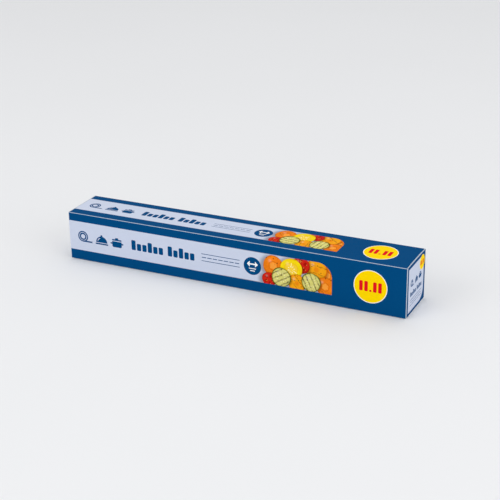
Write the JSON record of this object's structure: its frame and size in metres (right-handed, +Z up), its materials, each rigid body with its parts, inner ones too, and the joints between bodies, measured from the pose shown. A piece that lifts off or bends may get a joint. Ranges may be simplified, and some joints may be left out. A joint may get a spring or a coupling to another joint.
{
  "type": "boxed kitchen foil roll",
  "caption": "Folded card carton with a hinged lid and saw-toothed cutter, holding a roll of aluminium kitchen foil on a card core.",
  "frame": {"origin": "middle of the carton's underside, on the surface that it stands on", "axes": "+X along the carton and the roll, -Y towards the side that the lid's cover flap closes, +Z up"},
  "size_m": [0.3102, 0.0447, 0.0436],
  "materials": {
    "printed_board": "satin",
    "cut_steel": "satin",
    "kraft_core": "matte",
    "foil": "satin",
    "ink_pale": "satin",
    "ink_dark": "satin",
    "ink_white": "satin",
    "ink_yellow": "satin",
    "ink_red": "satin",
    "ink_carrot": "satin",
    "ink_courgette": "satin",
    "ink_pepper": "satin",
    "ink_tomato": "satin",
    "ink_squash": "satin"
  },
  "bodies": {
    "tray": {"carton_tray": "printed_board", "core_tube": "kraft_core", "foil_roll": "foil", "tray_print_dark": "ink_dark", "tray_print_pale": "ink_pale", "tray_print_red": "ink_red", "tray_print_yellow": "ink_yellow"},
    "lid": {"carton_lid": "printed_board", "cutter_strip": "cut_steel", "lid_print_carrot": "ink_carrot", "lid_print_courgette": "ink_courgette", "lid_print_dark": "ink_dark", "lid_print_pale": "ink_pale", "lid_print_pepper": "ink_pepper", "lid_print_red": "ink_red", "lid_print_squash": "ink_squash", "lid_print_tomato": "ink_tomato", "lid_print_white": "ink_white", "lid_print_yellow": "ink_yellow"}
  },
  "joints": [
    {"name": "lid_hinge", "type": "hinge", "parent": "tray", "child": "lid", "pos_m": [0, 0.02225, 0.0435], "axis": [-1, 0, 0], "range_deg": [0, 180]}
  ]
}
